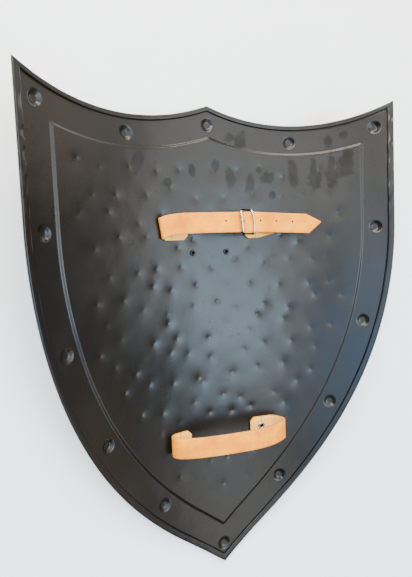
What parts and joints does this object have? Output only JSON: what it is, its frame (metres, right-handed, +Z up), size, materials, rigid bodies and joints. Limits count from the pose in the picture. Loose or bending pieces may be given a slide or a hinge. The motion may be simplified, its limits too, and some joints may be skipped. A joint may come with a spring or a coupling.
{
  "type": "heater shield",
  "caption": "Pressed steel heater shield bent about its long axis, lying on its front, with a buckled leather arm strap and a riveted leather grip on the back.",
  "frame": {"origin": "centre of the bounding box's underside, on the ground that the front bosses rest on", "axes": "+Z up out of the shield's hollow back, +Y towards its top edge, +X across it"},
  "size_m": [0.467, 0.61, 0.0872],
  "materials": {
    "black_paint": "satin",
    "tan_leather": "natural",
    "nickel": "polished"
  },
  "bodies": {
    "root": {"shield_plate": "black_paint", "arm_strap_billet": "tan_leather", "arm_strap_chape": "tan_leather", "grip_strap": "tan_leather", "buckle_frame": "nickel", "buckle_tongue": "nickel", "strap_keeper": "nickel", "rivet_arm_left": "nickel", "rivet_arm_right": "nickel", "rivet_grip_left": "nickel", "rivet_grip_right": "nickel", "rivet_small_left": "black_paint", "rivet_small_right": "black_paint"}
  },
  "joints": []
}
